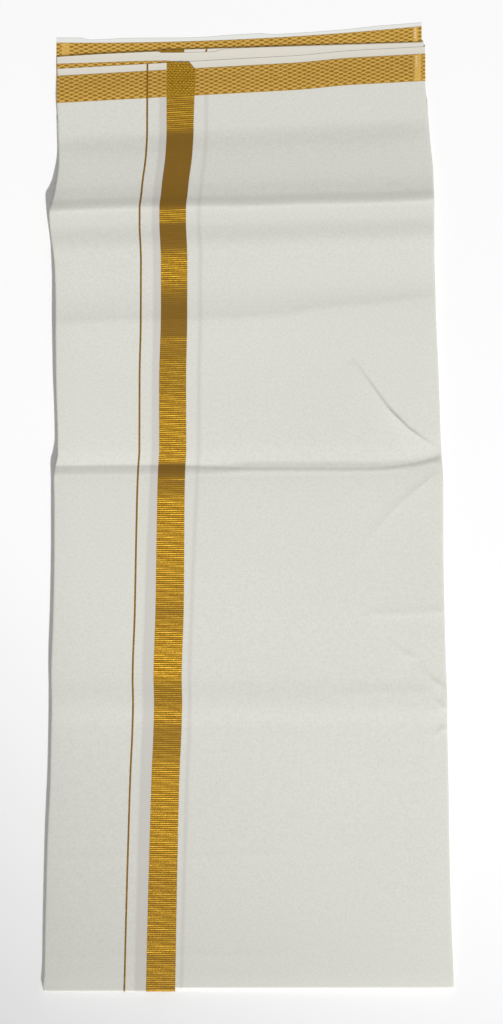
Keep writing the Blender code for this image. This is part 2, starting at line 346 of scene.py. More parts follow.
def show_through(along, x):
    """How strongly the hidden border and its fine line show through, from 0 to 1."""
    left = hidden_border_left(along)
    strip = smooth_step((x - left) / SOFT_EDGE) * smooth_step((left + BORDER_WIDTH - x) / SOFT_EDGE)
    line = np.exp(-((x - left - HIDDEN_LINE_OFFSET) / (2.0 * MM)) ** 2)
    return np.clip(strip + 0.8 * line, 0.0, 1.0)


def flap_top(along, x):
    ease = 0.25 * MM * show_through(along, x)
    sunk = 0.3 * MM * smooth_step((along - FRONT_END + 24 * MM) / (18 * MM))
    return front_top(along, x) + FLAP_LIFT + ease - sunk


# ---- Meshes ----
ROLL_STEPS = 8
ROLL_TURN = math.radians(170)


def add_rolls(points, extras, sides, depth, upward=False, turning=1.0):
    """The grid with a fold's round added along its left, right or bottom side.

    depth is the round's height; turning is how much of the round is made, one value or one a row.
    A round that turns down is flatter where there is little room above the floor.
    """
    rows, columns = points.shape[:2]
    room = np.ones((rows, columns))
    if not upward:
        room = np.clip((points[..., 2] - 0.3 * MM) / depth, 0.2, 1.0)
    add_left = ROLL_STEPS if "left" in sides else 0
    add_right = ROLL_STEPS if "right" in sides else 0
    add_bottom = ROLL_STEPS if "bottom" in sides else 0
    grid_rows = np.clip(np.arange(-add_bottom, rows), 0, None)
    column_numbers = np.arange(-add_left, columns + add_right)
    grid_columns = np.clip(column_numbers, 0, columns - 1)
    result = points[np.ix_(grid_rows, grid_columns)].copy()
    extras = {name: values[np.ix_(grid_rows, grid_columns)] for name, values in extras.items()}
    below = np.clip(-np.arange(-add_bottom, rows), 0, None)[:, None]
    beside = np.maximum(-column_numbers, column_numbers - columns + 1).clip(0)[None, :]
    way = np.where(column_numbers < 0, -1.0, 1.0)[None, :]
    ring = np.maximum(below, beside)
    most = np.maximum(ring, 1)
    angle = np.where(beside >= below, below / most, 2 - beside / most) * math.radians(45)
    turn = ring / ROLL_STEPS * ROLL_TURN * np.broadcast_to(turning, rows)[grid_rows][:, None]
    reach = ROLL_OUT * np.sin(turn)
    result[..., 0] += reach * np.cos(angle) * way
    result[..., 1] -= reach * np.sin(angle)
    fall = depth / 2 * (1 - np.cos(turn)) * room[np.ix_(grid_rows, grid_columns)]
    result[..., 2] += fall if upward else -fall
    return result, extras


def mesh_object(name, vertices, faces, material):
    mesh = bpy.data.meshes.new(name)
    mesh.from_pydata(vertices.tolist(), [], faces)
    mesh.materials.append(material)
    mesh.polygons.foreach_set("use_smooth", np.ones(len(mesh.polygons), bool))
    mesh.update()
    piece = bpy.data.objects.new(name, mesh)
    bpy.context.scene.collection.objects.link(piece)
    return piece


def grid_faces(index):
    """A grid's four-cornered faces, from its points' indices."""
    corners_of = (index[:-1, :-1], index[:-1, 1:], index[1:, 1:], index[1:, :-1])
    return np.stack(corners_of, axis=-1).reshape(-1, 4)


def ring_faces(inner, outer):
    """Faces that join two rings of points."""
    return np.stack((inner, outer, np.roll(outer, -1), np.roll(inner, -1)), axis=-1)


def rim_of(rows, columns):
    """Indices around the edge of a grid, anticlockwise seen from above."""
    index = np.arange(rows * columns).reshape(rows, columns)
    return np.concatenate((index[0, :-1], index[:-1, -1], index[-1, :0:-1], index[:0:-1, 0]))


def grid_piece(name, points, extras, material, thickness=PLY, closed=False):
    """A shell whose top is a grid of points, with values per point for the shader.

    What lies on other cloth has its cut edges only; a closed one has its underside too.
    """
    rows, columns = points.shape[:2]
    faces = grid_faces(np.arange(rows * columns).reshape(rows, columns))
    vertices = points.reshape(-1, 3)
    extras = {key: np.broadcast_to(values, (rows, columns)).ravel() for key, values in extras.items()}
    if not closed:
        rim = rim_of(rows, columns)
        upper = vertices[rim]
        lower = upper - (0.0, 0.0, thickness)
        first = len(vertices) + np.arange(len(rim))
        second = first + len(rim)
        edge = np.stack((second, np.roll(second, -1), np.roll(first, -1), first), axis=-1)
        faces = np.concatenate((faces, edge))
        vertices = np.concatenate((vertices, upper, lower))
        for key, values in extras.items():
            extras[key] = np.concatenate((values, values[rim], values[rim]))
    piece = mesh_object(name, vertices, faces.tolist(), material)
    for key, values in extras.items():
        attribute = piece.data.attributes.new(key, "FLOAT", "POINT")
        attribute.data.foreach_set("value", np.ascontiguousarray(values, dtype=np.float32))
    if closed:
        solidify = piece.modifiers.new("shell", "SOLIDIFY")
        solidify.thickness = thickness
        solidify.offset = -1.0
    return piece


def front_lean(along, x):
    """How far a weft thread of the front ply has gone along the bundle at x.

    The ply's end is bent a little on the right.
    """
    bent = 2.0 * MM * smooth_step((x - 0.045) / 0.06) * smooth_step((along - 0.37) / 0.04)
    return slant_curve(along) * x + bent


def sheet_points(along, x, top):
    """Grid points for places along (a column) and x (a row for each place, or one for all)."""
    along = np.broadcast_to(along[:, None], x.shape)
    y = along + front_lean(along, x)
    return np.stack((x, y, top(along, x)), axis=-1)


def spread(low, high, step):
    """Evenly spaced places from low to high, about a step apart."""
    return np.linspace(low, high, max(2, int(round((high - low) / step)) + 1))


def columns_between(low, high, step):
    """A row of x for each place along: low and high are arrays over those places."""
    count = max(2, int(round(float(np.max(high - low)) / step)) + 1)
    return low[:, None] + (high - low)[:, None] * np.linspace(0.0, 1.0, count)[None, :]


# ---- Materials ----
def new_material(name, roughness, metallic=0.0):
    material = bpy.data.materials.new(name)
    material.use_nodes = True
    tree = material.node_tree
    shader = tree.nodes["Principled BSDF"]
    shader.inputs["Roughness"].default_value = roughness
    shader.inputs["Metallic"].default_value = metallic
    return material, tree, shader


def node(tree, kind, inputs=(), **settings):
    """A shader node with its settings, and inputs by name: a socket is linked, another value is set."""
    item = tree.nodes.new(kind)
    for key, value in settings.items():
        setattr(item, key, value)
    for key, value in dict(inputs).items():
        if isinstance(value, bpy.types.NodeSocket):
            tree.links.new(value, item.inputs[key])
        else:
            item.inputs[key].default_value = value
    return item


def math_node(tree, operation, *values):
    return node(tree, "ShaderNodeMath", dict(enumerate(values)), operation=operation).outputs[0]


def mix_colour(tree, share, first, second):
    item = node(tree, "ShaderNodeMix", data_type="RGBA")
    for socket, value in zip((item.inputs[0], item.inputs[6], item.inputs[7]), (share, first, second)):
        if isinstance(value, bpy.types.NodeSocket):
            tree.links.new(value, socket)
        else:
            socket.default_value = value
    return item.outputs[2]


def attribute(tree, name):
    return node(tree, "ShaderNodeAttribute", attribute_name=name).outputs["Fac"]


WAVES_PER_SCALE = 3.18       # bands in a metre of Blender's wave texture at scale 1


def thread_height(tree, pitch, axis):
    """Rounded threads side by side, running across the given axis."""
    position = node(tree, "ShaderNodeTexCoord").outputs["Object"]
    inputs = {"Vector": position, "Scale": 1.0 / pitch / WAVES_PER_SCALE, "Distortion": 0.0}
    wave = node(tree, "ShaderNodeTexWave", inputs, wave_type="BANDS", bands_direction=axis,
                wave_profile="SIN")
    return wave.outputs["Fac"]


def noise(tree, position, scale):
    inputs = {"Vector": position, "Scale": scale, "Detail": 2.0}
    return node(tree, "ShaderNodeTexNoise", inputs).outputs["Fac"]


def weave_height(tree, warp_pitch, weft_pitch):
    warp = thread_height(tree, warp_pitch, "X")
    weft = thread_height(tree, weft_pitch, "Y")
    return math_node(tree, "ADD", warp, weft)


COTTON = (0.710, 0.710, 0.656, 1.0)
COTTON_SHADE = (0.605, 0.586, 0.541, 1.0)
COTTON_SLUB = (0.656, 0.652, 0.588, 1.0)
COTTON_WARM = (0.760, 0.712, 0.620, 1.0)     # gold under the cloth shows through it
COTTON_PALE = (0.800, 0.800, 0.765, 1.0)     # one ply alone on the pale floor


def cotton():
    material, tree, shader = new_material("cotton_white", 0.9)
    position = node(tree, "ShaderNodeTexCoord").outputs["Object"]
    streaks = []
    for scale in ((300.0, 1000.0, 300.0), (1000.0, 300.0, 300.0)):
        placed = node(tree, "ShaderNodeMapping", {"Vector": position, "Scale": scale}).outputs[0]
        streaks.append(noise(tree, placed, 1.0))
    slub = math_node(tree, "MULTIPLY", math_node(tree, "ADD", *streaks), 0.5)
    slub = node(tree, "ShaderNodeMapRange", {0: slub, 1: 0.42, 2: 0.62}).outputs[0]
    body = mix_colour(tree, slub, COTTON, COTTON_SLUB)
    colour = mix_colour(tree, attribute(tree, "show"), body, COTTON_SHADE)
    colour = mix_colour(tree, attribute(tree, "warm"), colour, COTTON_WARM)
    colour = mix_colour(tree, attribute(tree, "pale"), colour, COTTON_PALE)
    tree.links.new(colour, shader.inputs["Base Color"])
    shader.inputs["Sheen Weight"].default_value = 0.12
    shader.inputs["Sheen Roughness"].default_value = 0.5
    shader.inputs["Specular IOR Level"].default_value = 0.2
    weave = weave_height(tree, 0.42 * MM, 0.46 * MM)
    weave = math_node(tree, "ADD", weave, math_node(tree, "MULTIPLY", slub, 0.8))
    bump = node(tree, "ShaderNodeBump", {"Height": weave, "Strength": 0.25, "Distance": 0.08 * MM})
    tree.links.new(bump.outputs[0], shader.inputs["Normal"])
    return material


GOLD_LIGHT = (1.00, 0.60, 0.055, 1.0)
GOLD_DEEP = (0.24, 0.105, 0.003, 1.0)
# a dull thread colour, which on the border is painted shade
GOLD_DULL_AND_SHADE = (0.30, 0.160, 0.024, 1.0)
BAND_LIGHT = (1.00, 0.63, 0.160, 1.0)
BAND_DEEP = (0.39, 0.200, 0.016, 1.0)
GOLD_METALLIC = 0.5          # metal thread woven together with cotton


def gold(name, light, deep, roughness):
    """Metal thread: the figure value leads from the ground's colour to the raised thread's; in the end
    bands' bright stripes it is a painted highlight. The tone value leads from a dull colour, which on the
    border is painted shade, to the thread's.
    """
    material, tree, shader = new_material(name, roughness, GOLD_METALLIC)
    shader.inputs["Specular IOR Level"].default_value = 0.2
    position = node(tree, "ShaderNodeTexCoord").outputs["Object"]
    grain = noise(tree, position, 900.0)
    figure = attribute(tree, "figure")
    sparkle = math_node(tree, "MULTIPLY", math_node(tree, "SUBTRACT", grain, 0.5), 1.3)
    share = node(tree, "ShaderNodeClamp", {0: math_node(tree, "ADD", figure, sparkle)}).outputs[0]
    thread = mix_colour(tree, share, deep, light)
    tone = attribute(tree, "tone")
    # painted shade: a low tone turns the thread towards the dull colour
    colour = mix_colour(tree, tone, GOLD_DULL_AND_SHADE, thread)
    tree.links.new(colour, shader.inputs["Base Color"])
    threads = weave_height(tree, 0.40 * MM, 0.34 * MM)
    bump = node(tree, "ShaderNodeBump", {"Height": threads, "Strength": 0.35, "Distance": 0.08 * MM})
    tree.links.new(bump.outputs[0], shader.inputs["Normal"])
    return material


COTTON_WHITE = cotton()
GOLD_BORDER = gold("gold_border", GOLD_LIGHT, GOLD_DEEP, 0.45)
GOLD_BAND = gold("gold_band", BAND_LIGHT, BAND_DEEP, 0.5)


def place(piece, slot, *replaced):
    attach(piece, "root")
    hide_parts(*replaced)


# ---- White plies ----
CLOTH_STEP = 2.6 * MM


def graded(low, high, places, densities):
    """Places from low to high about CLOTH_STEP apart, and closer where the density is above 1."""
    density = smooth_through(places, densities)
    fine = np.linspace(low, high, 4000)
    total = np.concatenate(([0.0], np.cumsum(density((fine[1:] + fine[:-1]) / 2))))
    count = max(2, int(total[-1] * (high - low) / 4000 / CLOTH_STEP) + 1)
    return np.interp(np.linspace(0.0, total[-1], count), total, fine)


ROW_PLACES = (-0.49, 0.0, 0.02, 0.05, 0.06, 0.12, 0.13, 0.16, 0.27, 0.285, 0.33, 0.35, 0.48)
ROW_DENSITIES = (1, 1, 2, 2, 2.8, 2.8, 2, 1, 1, 2, 2, 1, 1)
COLUMN_PLACES = (-0.2, -0.08, -0.07, -0.04, -0.03, 0.08, 0.11, 0.2)
COLUMN_DENSITIES = (0.6, 0.6, 2, 2, 0.9, 0.9, 2.6, 2.6)


def crease_rows(low, high):
    """Places along the bundle, closer where the main creases are."""
    return graded(low, high, ROW_PLACES, ROW_DENSITIES)


def crease_columns(low, high):
    """Columns across the front ply, closer beside the flap and on the right where the wrinkles are."""
    places = graded(float(np.min(low)), float(np.max(high)), COLUMN_PLACES, COLUMN_DENSITIES)
    share = (places - places[0]) / (places[-1] - places[0])
    return low[:, None] + (high - low)[:, None] * share[None, :]


def white_piece(name, along, x, top, sides=(), warm=0.0):
    """A white ply: the hidden border shows through it, or where it is warm, the gold under it."""
    points = sheet_points(along, x, top)
    column = np.broadcast_to(along[:, None], x.shape)
    extras = {"show": show_through(column, x) if warm == 0 else x * 0, "warm": x * 0 + warm}
    points, extras = add_rolls(points, extras, sides, ROLL_DEPTH)
    return grid_piece(name, points, extras, COTTON_WHITE)


BODY_END = FRONT_END - MARGIN_WIDTH - BAND_WIDTH
FLAP_BOTTOM = BOTTOM - FLAP_OVERHANG + ROLL_OUT
END_WARMTH = 0.8             # how much gold shows through the plain cut ends
FLAP_WARMTH = 0.7


def make_front():
    along = crease_rows(BOTTOM + ROLL_OUT, BODY_END)
    x = crease_columns(left_edge(along) + TUCK, right_edge(along) - ROLL_OUT)
    piece = white_piece("front_cloth", along, x, front_top, ("right", "bottom"))
    place(piece, "cotton_white", "front_panel")
    along = spread(FRONT_END - MARGIN_WIDTH, FRONT_END, 1.0 * MM)
    x = columns_between(left_edge(along) + TUCK, right_edge(along) - ROLL_OUT, CLOTH_STEP)
    piece = white_piece("front_margin", along, x, front_top, ("right",), END_WARMTH)
    place(piece, "cotton_white", "front_end_margin")


def beside_line(along, side):
    """The fine line's left (-1) or right (+1) edge."""
    return border_curve(along) - LINE_OFFSET + LINE_DRIFT * along + side * LINE_WIDTH / 2


def flap_pieces(kind, along, sides, warm, outer_node, inner_node):
    """A stretch of the flap's white cloth, on both sides of the fine line."""
    x = columns_between(left_edge(along) + ROLL_OUT, beside_line(along, -1), CLOTH_STEP)
    outer = white_piece(f"flap_{kind}_outer", along, x, flap_top, ("left",) + sides, warm)
    place(outer, "cotton_white", outer_node)
    x = columns_between(beside_line(along, 1), border_curve(along), 1.5 * MM)
    inner = white_piece(f"flap_{kind}_inner", along, x, flap_top, sides, warm)
    place(inner, "cotton_white", inner_node)
    return outer, inner


def make_flap():
    along = crease_rows(FLAP_BOTTOM, BODY_END)
    outer, inner = flap_pieces("cloth", along, ("bottom",), 0.0, "flap_panel", "flap_inner_strip")
    along = spread(FRONT_END - MARGIN_WIDTH, FRONT_END, 1.0 * MM)
    flap_pieces("end", along, (), FLAP_WARMTH, "flap_margin_outer", "flap_margin_inner")


# ---- Gold border ----
# How bright the metal thread is painted, from 0 (dull) to 1, at places along the bundle in millimetres,
# from the bottom fold to the cut end: painted shade, dull mostly on crease sides that face away from the
# lamp. Two places 2 mm apart are a sharp change.
Tone = namedtuple("Tone", "along tone")
BORDER_SHADE_TONES = tuple(Tone(*row) for row in (
    (-484, 0.45), (-462, 0.7), (-452, 0.4), (-446, 0.9), (-432, 0.6), (-420, 0.75), (-375, 0.65),
    (-345, 0.85), (-262, 0.85), (-246, 0.5), (-222, 0.4), (-218, 0.65), (-208, 0.9), (-200, 0.65),
    (-192, 0.5), (-180, 0.6), (-168, 1.0), (-140, 0.95), (-112, 0.7), (-106, 0.45), (-96, 0.75),
    (-70, 0.9), (8, 1.0), (14, 0.6), (26, 0.3), (27.5, 0.7), (29, 0.7), (31, 0.05), (44, 0.02),
    (46, 0.85), (90, 0.9), (112, 0.8), (118, 0.65), (146, 0.65), (152, 0.35), (164, 0.45), (170, 0.75),
    (172, 0.12), (202, 0.05), (212, 0.2), (222, 0.6), (230, 0.9), (248, 0.9), (256, 0.6), (262, 0.1),
    (284, 0.04), (287, 0.8), (298.5, 0.8), (300.5, 0.06), (375, 0.04), (382, 0.6), (398, 0.8),
    (406, 0.6), (414, 0.85), (417, 1.0), (450, 1.0),
))
# The border's width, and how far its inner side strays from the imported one's, along the bundle.
BORDER_SPAN = smooth_through(
    (-0.48, -0.39, -0.27, -0.13, 0.10, 0.38, 0.448),
    (28.3 * MM, 27.9 * MM, 27.3 * MM, 27.6 * MM, BORDER_WIDTH, 26.8 * MM, 29.3 * MM))
BORDER_STRAY = smooth_through(
    (-0.48, -0.45, -0.27, -0.03, 0.106, 0.20),
    (0.8 * MM, 0.8 * MM, 0.5 * MM, 0.6 * MM, 0.9 * MM, 0.1 * MM))


def selvedge(along):
    """The border's outer side; its corner at the cut end is cut away."""
    cut_away = np.clip(1.0 - (FRONT_END - along) / CORNER_LENGTH, 0.0, 1.0)
    return border_curve(along) + BORDER_SPAN(along) - CORNER_CUT * cut_away


def ribs(along, x):
    """Cross ribs with one steep side; their metal thread is worn here and there."""
    phase = along / RIB_PITCH
    number = np.floor(phase)
    saw = phase - number
    rib = smooth_step(np.where(saw < 0.6, saw / 0.6, (1 - saw) / 0.4) * 1.5 - 0.25)
    wear = 0.5 + 0.5 * np.sin(number * 2.39 + x * 120) * np.sin(number * 0.9 - x * 60 + 1.3)
    return rib * (0.5 + 0.5 * wear)


def slanting_twill(along, x):
    """The slanting lines where the border crosses the end band."""
    lines = 0.5 + 0.5 * np.sin((x + along) * math.tau / (TWILL_PITCH * 1.414))
    lines = lines * (0.6 + 0.4 * np.sin(along * math.tau / (2.4 * MM) + x * 200))
    return 0.08 + 0.85 * lines


def make_border():
    along = spread(FLAP_BOTTOM, FRONT_END, RIB_PITCH / 6)
    x = columns_between(border_curve(along) - BORDER_STRAY(along), selvedge(along), 2.0 * MM)
    column = np.broadcast_to(along[:, None], x.shape)
    crossing = smooth_step((column - FRONT_END + MARGIN_WIDTH + BAND_WIDTH) / (1.5 * MM))
    figure = ribs(column, x) * (1 - crossing) + slanting_twill(column, x) * crossing
    # the tones paint shade along the border
    shade_tones = np.array(BORDER_SHADE_TONES)
    tone = np.interp(column, shade_tones[:, 0] * MM, shade_tones[:, 1])
    points = sheet_points(along, x, flap_top)
    pressed = 1.0 - 0.8 * smooth_step((column - FRONT_END + 5 * MM) / (4 * MM))
    points[..., 2] += (0.12 * MM + RIB_HEIGHT * figure * (0.1 + 0.9 * tone)) * pressed
    points, extras = add_rolls(points, {"figure": figure, "tone": tone}, ("bottom",), ROLL_DEPTH)
    piece = grid_piece("border_gold", points, extras, GOLD_BORDER)
    place(piece, "gold_zari", "flap_border")


def make_line():
    along = spread(FLAP_BOTTOM, FRONT_END, 0.4 * MM)
    x = columns_between(beside_line(along, -1), beside_line(along, 1), LINE_WIDTH / 6)
    column = np.broadcast_to(along[:, None], x.shape)
    across = np.linspace(-1.0, 1.0, x.shape[1])[None, :]
    bead = 0.5 + 0.5 * np.sin(column * math.tau / (2.0 * MM) + across * 1.2)
    points = sheet_points(along, x, flap_top)
    points[..., 2] += 0.1 * MM + 0.25 * MM * (1 - across ** 2) * (0.5 + 0.5 * bead)
    extras = {"figure": 0.3 * bead * (1 - across ** 2), "tone": np.full(x.shape, 0.8)}
    points, extras = add_rolls(points, extras, ("bottom",), ROLL_DEPTH)
    piece = grid_piece("line_gold", points, extras, GOLD_BORDER)
    place(piece, "gold_zari", "flap_fine_line")


# ---- Patterned end bands ----
def lattice(x, down):
    """The band's figure: light lines around lens-shaped cells, from 0 in a cell to 1 on a line."""
    wobble = 0.22 * np.sin(x * 61 + 1.0) + 0.16 * np.sin(x * 143 + down * 300)
    value = np.cos(math.tau * x / CELL_WIDTH + wobble) + np.cos(math.tau * down / CELL_LENGTH + wobble)
    return 1.0 - smooth_step((np.abs(value) - 0.15) / 1.05)


def band_extras(x, down, glint):
    across = np.sin(x * math.tau / (2.3 * MM) + down * 500)
    lengthwise = np.sin(down * math.tau / (1.7 * MM) + x * 400)
    figure = np.clip(lattice(x, down) * 0.92 + 0.24 * across * lengthwise, 0.0, 1.0)
    # painted highlight: in the glint stripes the figure goes over to the light gold
    figure = figure * (1 - glint) + 0.95 * glint
    edge = np.minimum(down, BAND_WIDTH - down)
    figure = np.where(edge < 0.5 * MM, 0.25, figure)
    return {"figure": figure, "tone": np.full(x.shape, 1.0)}


def stripe(x, middle, half_width):
    """1 within a stripe along the bundle, 0 outside it."""
    return smooth_step((half_width - np.abs(x - middle)) / (0.7 * MM) + 0.5)


def second_lean(along, x):
    return SECOND_BAND_EDGE(x) - (SECOND_END - MARGIN_WIDTH)


def back_lean(along, x):
    return BACK_SLANT * x + BACK_BOW * x * x


def no_glint(x):
    return np.zeros(x.shape)


def band_places(end, margin=MARGIN_WIDTH):
    """Places along the bundle from a band's lower to its upper edge."""
    return spread(end - margin - BAND_WIDTH, end - margin, 0.5 * MM)


def band_piece(name, along, low, high, top, replaced, sides=(), glint=no_glint, lean=front_lean,
               thickness=PLY):
    """An end band between x = low and x = high, which are arrays over the places along."""
    x = columns_between(low, high, 0.62 * MM)
    column = np.broadcast_to(along[:, None], x.shape)
    extras = band_extras(x, along[-1] - column, glint(x))
    z = top(column, x) + 0.06 * MM + FIGURE_HEIGHT * extras["figure"]
    points = np.stack((x, column + lean(column, x), z), axis=-1)
    points, extras = add_rolls(points, extras, sides, ROLL_DEPTH)
    piece = grid_piece(name, points, extras, GOLD_BAND, thickness)
    place(piece, "gold_zari", replaced)
    return piece


def front_glint(x):
    """The bright stripe near the right fold: a painted highlight."""
    return stripe(x, END_RIGHT - 7.6 * MM, 3.2 * MM)


def make_bands():
    along = band_places(FRONT_END)
    low, high = left_edge(along) + TUCK, right_edge(along) - ROLL_OUT
    piece = band_piece("front_band", along, low, high, front_top, "front_end_band", ("right",),
                       front_glint)
    low, high = left_edge(along) + ROLL_OUT, beside_line(along, -1)
    piece = band_piece("flap_band_outer_gold", along, low, high, flap_top, "flap_band_outer", ("left",))
    low, high = beside_line(along, 1), border_curve(along)
    piece = band_piece("flap_band_inner_gold", along, low, high, flap_top, "flap_band_inner")


# ---- The plies that stand out beyond the front one at the cut ends ----
PILE_END = 2.3 * MM          # top of the hidden plies at the cut ends
END_PLY = 0.15 * MM          # thickness of the second and third ply's shells
BACK_END_PLY = 0.1 * MM
THIRD_LENGTH = 34 * MM
THIRD_SLANT = 0.031
BACK_SLANT = 0.048
BACK_BOW = 0.15
# How far the lowest ply's plain end reaches past its band: it is cut unevenly.
BACK_MARGIN_REACH = smooth_through(
    (-0.188, -0.168, -0.158, -0.118, -0.048, -0.018, 0.012, 0.026, 0.090, 0.132, 0.172),
    (5.0 * MM, 5.0 * MM, 3.0 * MM, 4.4 * MM, 3.6 * MM, 4.8 * MM, 5.0 * MM, 3.2 * MM, 3.2 * MM, 4.2 * MM,
     3.6 * MM))
# The second ply's cut edge, uneven and stepping down beside the third ply's border, and its band's
# upper edge, which goes under the front ply to the right of the border.
SECOND_BAND_EDGE = smooth_through(
    (-0.192, -0.148, -0.108, -0.083, -0.064, -0.055, 0.176),
    (0.4431, 0.4445, 0.4459, 0.4463, 0.4445, 0.4443, 0.4570))
SECOND_EDGE = smooth_through(
    (-0.192, -0.148, -0.108, -0.0895, -0.0870, -0.064, -0.036, -0.020, 0.080, 0.176),
    (0.4500, 0.4528, 0.4547, 0.4554, 0.4543, 0.4545, 0.4552, 0.4582, 0.4614, 0.4644))


def back_top(along, x):
    return BACK_PLY - settle(along, BACK_END, 0.75 * MM, 60 * MM)


def plain_points(along, x, top, slant, bow=0.0):
    column = np.broadcast_to(along[:, None], x.shape)
    return np.stack((x, column + slant * x + bow * x * x, top(column, x)), axis=-1)


def second_top(along, x):
    past = smooth_step((along - FRONT_END) / (SECOND_END - FRONT_END))
    return PILE_END + CAD_PITCH - end_fall(along, x) - end_step(x) - 0.15 * MM * past


def second_band_top(along, x):
    """The second ply's band lies a little lower where the front ply covers it."""
    return second_top(along, x) - 0.25 * MM * smooth_step((x + 0.05) / 0.03)


def third_top(along, x):
    return second_top(along, x) - end_step(x)


def make_second():
    left, right = END_LEFT + 0.3 * MM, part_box("second_end_margin")[1][0]
    x = spread(left, right, 1.2 * MM)
    share = np.linspace(0.0, 1.0, 8)[:, None]
    y = SECOND_BAND_EDGE(x) + (SECOND_EDGE(x) - SECOND_BAND_EDGE(x)) * share
    x = np.broadcast_to(x, y.shape)
    points = np.stack((x, y, second_top(y - second_lean(y, x), x)), axis=-1)
    piece = grid_piece("second_margin", points, {"warm": x * 0 + END_WARMTH}, COTTON_WHITE, END_PLY)
    place(piece, "cotton_white", "second_end_margin")
    along = band_places(SECOND_END)
    low, high = along * 0 + left, along * 0 + right
    piece = band_piece("second_band", along, low, high, second_band_top, "second_end_band",
                       lean=second_lean, thickness=END_PLY)


def third_piece(name, along, low, high, step, lift, extras, material):
    """A stretch of the third ply's end, between x = low and x = high and lifted above the ply."""
    x = columns_between(along * 0 + low, along * 0 + high, step)
    points = plain_points(along, x, third_top, THIRD_SLANT)
    points[..., 2] += lift
    extras = {key: np.full(x.shape, value) for key, value in extras.items()}
    return grid_piece(name, points, extras, material, END_PLY)


def make_third():
    low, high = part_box("third_ply_end")
    border_low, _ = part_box("third_ply_border")
    along = spread(THIRD_END - THIRD_LENGTH, THIRD_END, 1.0 * MM)
    cloth = third_piece("third_end", along, low[0], high[0], 3 * MM, 0.0,
                        {"warm": END_WARMTH}, COTTON_WHITE)
    place(cloth, "cotton_white", "third_ply_end")
    middle = low[0] + 22.5 * MM + 0.25 * (along - THIRD_END)
    line = third_piece("third_line_gold", along, middle - LINE_WIDTH / 2, middle + LINE_WIDTH / 2,
                       LINE_WIDTH / 4, 0.03 * MM, {"figure": 0.2, "tone": 0.5}, GOLD_BORDER)
    place(line, "gold_zari")
    border = third_piece("third_border_gold", along, border_low[0], low[0], 1.5 * MM, 0.0,
                         {"figure": 0.25, "tone": 0.6}, GOLD_BORDER)
    place(border, "gold_zari", "third_ply_border")


def make_back():
    band_low = BACK_END - BACK_MARGIN_WIDTH - BAND_WIDTH
    end_low, end_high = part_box("back_end_margin")
    along = crease_rows(BOTTOM + ROLL_OUT, band_low)
    blend = smooth_step((along - 0.40) / 0.035)
    left = left_edge(along) * (1 - blend) + end_low[0] * blend + ROLL_OUT
    right = right_edge(along) * (1 - blend) + end_high[0] * blend - ROLL_OUT
    x = columns_between(left, right, 5 * MM)
    column = np.broadcast_to(along[:, None], x.shape)
    share = np.broadcast_to(blend[:, None], x.shape)
    slant = slant_curve(column) * (1 - share) + BACK_SLANT * share
    y = column + slant * x + BACK_BOW * share * x * x
    creases = np.abs(pressed_height(x, y)) + wrinkle_height(x, y)
    trough = np.clip(creases - 0.1 * MM, 0.0, 0.6 * MM) * (1 - share)
    points = np.stack((x, y, BACK_PLY + trough), axis=-1)
    turning = 1.0 - 0.7 * smooth_step((along - 0.38) / 0.03)
    points, _ = add_rolls(points, {}, ("left", "right", "bottom"), BACK_ROLL_DEPTH, True, turning)
    piece = grid_piece("back_cloth", points, {}, COTTON_WHITE, BACK_PLY, closed=True)
    place(piece, "cotton_white", "back_panel")


def back_glint(x):
    """The lowest band's bright stripes, near its left and its right end: painted highlights."""
    low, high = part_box("back_end_margin")
    return np.maximum(0.75 * stripe(x, low[0] + 9 * MM, 3.8 * MM), stripe(x, high[0] - 6 * MM, 2.1 * MM))


def make_back_end():
    left, right = (corner[0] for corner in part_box("back_end_margin"))
    along = spread(BACK_END - BACK_MARGIN_WIDTH, BACK_END, 1.0 * MM)
    x = columns_between(along * 0 + left, along * 0 + right, 2 * MM)
    points = plain_points(along, x, back_top, BACK_SLANT, BACK_BOW)
    short = BACK_MARGIN_WIDTH - BACK_MARGIN_REACH(x)
    points[..., 1] -= short * np.linspace(0.0, 1.0, len(along))[:, None]
    piece = grid_piece("back_margin", points, {"pale": np.ones(x.shape)}, COTTON_WHITE, BACK_END_PLY)
    place(piece, "cotton_white", "back_end_margin")
    along = band_places(BACK_END, BACK_MARGIN_WIDTH)
    low, high = along * 0 + left, along * 0 + right
    piece = band_piece("back_band", along, low, high, back_top, "back_end_band",
                       glint=back_glint, lean=back_lean, thickness=BACK_END_PLY)


# ---- Raised white dots, paler than the cloth, in the painted highlight stripes near the right fold ----
DOT_STEP = 2.35 * MM
DOT_COUNT = 5             # in each row, from the first one towards the bottom fold
DOT_SIDES = 8
DOT_RADIUS = 0.75 * MM
DOT_HEIGHT = 0.4 * MM
# A row: the first dot's place in millimetres, and the ply it is on.
DotRow = namedtuple("DotRow", "x y top end lean")
DOT_ROWS = (DotRow(167.6, 479.3, back_top, BACK_END, back_lean),
               DotRow(168.6, 450.4, front_top, FRONT_END, front_lean))


def make_white_dots():
    turns = np.arange(DOT_SIDES) * math.tau / DOT_SIDES
    vertices = []
    faces = []
    for row in DOT_ROWS:
        for number in range(DOT_COUNT):
            centre = np.array((row.x * MM, row.y * MM - number * DOT_STEP))
            along = centre[1] - row.lean(np.array(row.end - 20 * MM), centre[0])
            z = float(row.top(along, centre[0])) + 0.1 * MM
            first = len(vertices)
            vertices.append((*centre, z + DOT_HEIGHT))
            for turn in turns:
                around = centre + DOT_RADIUS * np.array((math.cos(turn), math.sin(turn)))
                vertices.append((*around, z))
            for side in range(DOT_SIDES):
                faces.append((first, first + 1 + side, first + 1 + (side + 1) % DOT_SIDES))
    piece = mesh_object("band_white_dots", np.array(vertices), faces, COTTON_WHITE)
    # the dots are painted with the pale colour, paler than the cloth
    pale = piece.data.attributes.new("pale", "FLOAT", "POINT")
    pale.data.foreach_set("value", np.ones(len(vertices), dtype=np.float32))
    place(piece, "cotton_white")


